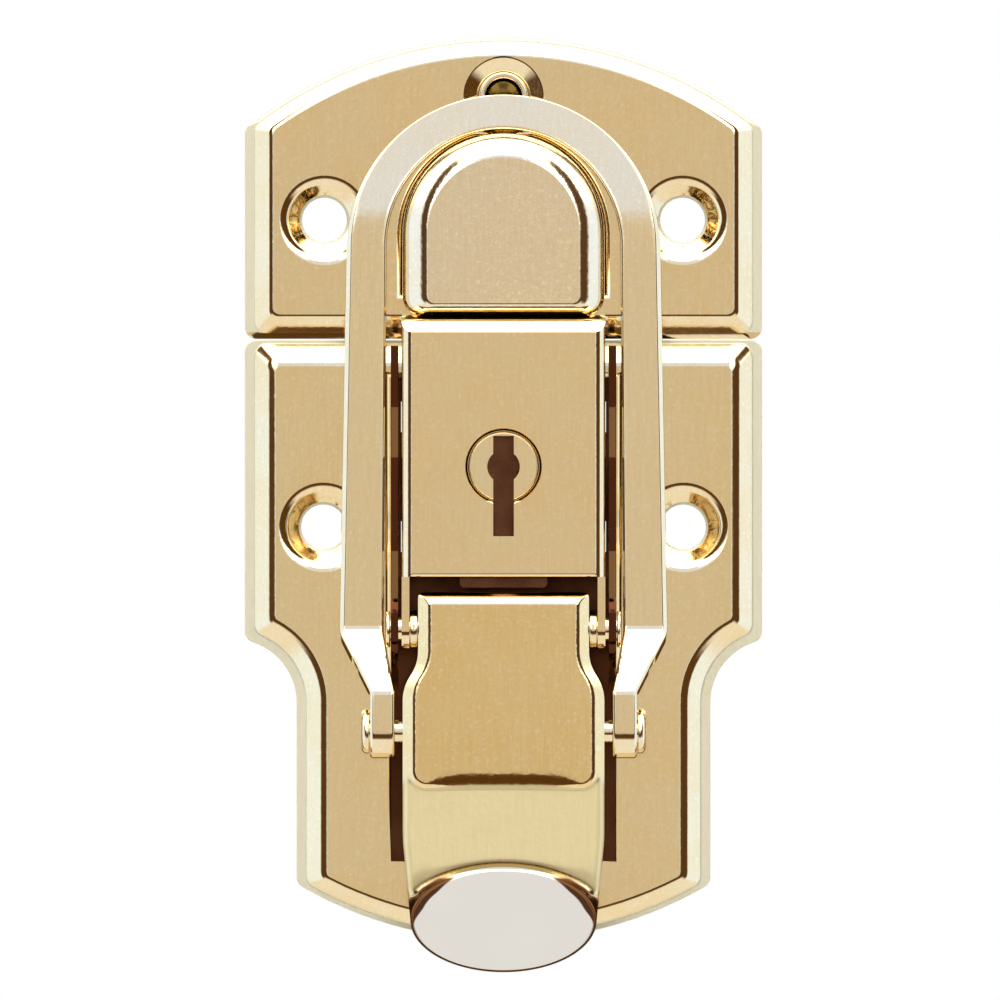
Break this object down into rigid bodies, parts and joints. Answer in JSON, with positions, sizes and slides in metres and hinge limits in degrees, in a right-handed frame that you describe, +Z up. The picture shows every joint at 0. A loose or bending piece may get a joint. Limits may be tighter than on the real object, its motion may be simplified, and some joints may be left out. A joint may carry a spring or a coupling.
{
  "type": "locking draw latch",
  "caption": "Keyed draw latch for a case: a lever pulls an arched bail over a domed hook on a strike plate, and a lock bolt under the keyhole holds the lever shut.",
  "frame": {"origin": "midway between the base plate's side screw holes, in the mounting plane at the back of both plates", "axes": "+Z up from the lever's tab towards the strike plate, +X to the viewer's right, +Y into the case wall, so the viewer is on the -Y side"},
  "size_m": [0.054, 0.0127, 0.0974],
  "materials": {
    "plated_sheet": "polished brass plating on pressed sheet",
    "plated_strip": "polished brass plating on strip",
    "plated_trim": "polished brass plating on turned and headed parts",
    "inner_steel": "oiled rolled steel, dark brown",
    "spring_steel": "blued spring steel"
  },
  "bodies": {
    "base": {"strike_plate": "plated_sheet", "strike_hook": "plated_sheet", "hook_rivet": "plated_trim", "base_plate": "plated_sheet", "back_plate": "inner_steel", "lock_case": "plated_sheet", "mechanism_plate": "inner_steel", "bolt_guides": "inner_steel", "guide_rivets": "inner_steel", "drag_spring": "spring_steel", "spring_rivet": "inner_steel", "lever_pin": "plated_trim", "pivot_washers": "plated_trim"},
    "lever": {"lever": "plated_sheet", "bail_pin": "plated_trim"},
    "bail": {"bail": "plated_strip"},
    "key_rotor": {"key_rotor": "plated_trim"},
    "lock_bolt": {"lock_bolt": "inner_steel"}
  },
  "joints": [
    {"name": "lever_turn", "type": "hinge", "parent": "base", "child": "lever", "pos_m": [0, -0.008, -0.01065], "axis": [-1, 0, 0], "range_deg": [0, 120]},
    {"name": "bail_turn", "type": "hinge", "parent": "lever", "child": "bail", "pos_m": [0, -0.0063, -0.0213], "axis": [1, 0, 0], "range_deg": [0, 180]},
    {"name": "key_turn", "type": "hinge", "parent": "base", "child": "key_rotor", "pos_m": [0, -0.0085, 0.0063], "axis": [0, 1, 0], "range_deg": [0, 90]},
    {"name": "bolt_slide", "type": "slide", "parent": "base", "child": "lock_bolt", "axis": [0, 0, -1], "range_m": [0, 0.0013]}
  ],
  "couplings": [
    {"joint": "bail_turn", "follows": "lever_turn", "ratio": 1.5},
    {"joint": "key_turn", "follows": "bolt_slide", "rad_per_m": 1208.3}
  ]
}
